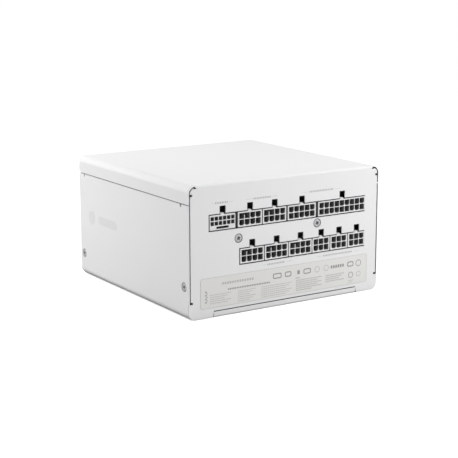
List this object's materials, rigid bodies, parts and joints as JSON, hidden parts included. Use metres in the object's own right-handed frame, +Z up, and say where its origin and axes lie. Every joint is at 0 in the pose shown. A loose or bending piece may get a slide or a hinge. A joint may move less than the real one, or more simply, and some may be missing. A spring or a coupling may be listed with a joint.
{
  "type": "modular computer power supply unit",
  "caption": "White box-shaped modular computer power supply with two rows of sockets, a rating label, a mains inlet, a rocker switch and a cooling fan.",
  "frame": {"origin": "centre of the box at the bottom plate's outer face", "axes": "+Z up through the top plate, -Y out of the socket panel, +Y out of the mains panel, +X to the right seen from the front"},
  "size_m": [0.15, 0.1526, 0.086],
  "materials": {
    "white_paint": "fine-textured white powder coat",
    "white_plastic": "satin white moulded plastic",
    "black_plastic": "satin black moulded plastic",
    "screw_steel": "plated steel",
    "label_film": "matt warm grey printed film",
    "board_black": "circuit board with dark solder mask",
    "aluminium": "extruded, plain",
    "ferrite": "dark sintered ferrite",
    "copper_winding": "enamelled copper wire",
    "capacitor_sleeve": "shrink sleeve",
    "yellow_film": "yellow polyester tape",
    "brass": "turned brass",
    "tinned_brass": "tin-plated brass",
    "clear_film": "thin insulating sheet",
    "wire_black": "wire sleeve",
    "wire_brown": "wire insulation"
  },
  "bodies": {
    "unit": {"ac_inlet": "black_plastic", "board_standoff_1": "brass", "board_standoff_2": "brass", "board_standoff_3": "brass", "board_standoff_4": "brass", "bulk_capacitor": "capacitor_sleeve", "earth_blade": "tinned_brass", "fan_frame": "black_plastic", "fan_grille": "white_paint", "fan_lead": "wire_black", "fan_screw_front_left": "screw_steel", "fan_screw_front_right": "screw_steel", "fan_screw_rear_left": "screw_steel", "fan_screw_rear_right": "screw_steel", "fan_stator": "copper_winding", "inlet_screw_left": "screw_steel", "inlet_screw_right": "screw_steel", "insulation_sheet": "clear_film", "line_blade": "tinned_brass", "line_filter_choke": "copper_winding", "line_wire": "wire_brown", "lower_shell": "white_paint", "main_board": "board_black", "main_transformer_core": "ferrite", "main_transformer_winding": "yellow_film", "modular_board": "board_black", "neutral_blade": "tinned_brass", "output_capacitor_1": "capacitor_sleeve", "output_capacitor_2": "capacitor_sleeve", "panel_screw_left": "screw_steel", "panel_screw_right": "screw_steel", "panel_spacer_left": "brass", "panel_spacer_right": "brass", "pfc_choke": "copper_winding", "primary_heatsink": "aluminium", "rating_label": "label_film", "secondary_heatsink": "aluminium", "side_screw_front_left": "screw_steel", "side_screw_front_right": "screw_steel", "side_screw_rear_left": "screw_steel", "side_screw_rear_right": "screw_steel", "socket_12v": "white_plastic", "socket_cpu_gpu_1": "white_plastic", "socket_cpu_gpu_2": "white_plastic", "socket_cpu_gpu_3": "white_plastic", "socket_cpu_gpu_4": "white_plastic", "socket_cpu_gpu_5": "white_plastic", "socket_motherboard_10": "white_plastic", "socket_motherboard_18": "white_plastic", "socket_peripheral_1": "white_plastic", "socket_peripheral_2": "white_plastic", "socket_peripheral_3": "white_plastic", "standby_transformer": "yellow_film", "switch_housing": "black_plastic", "upper_shell": "white_paint", "x_capacitor": "yellow_film"},
    "rotor": {"fan_rotor": "black_plastic"},
    "rocker": {"switch_rocker": "black_plastic"}
  },
  "joints": [
    {"name": "fan_spin", "type": "hinge", "parent": "unit", "child": "rotor", "pos_m": [0, -0.0011, 0.014], "axis": [0, 0, 1], "continuous": true},
    {"name": "rocker_tilt", "type": "hinge", "parent": "unit", "child": "rocker", "pos_m": [-0.004, 0.0709, 0.06], "axis": [1, 0, 0], "range_deg": [0, 20]}
  ]
}
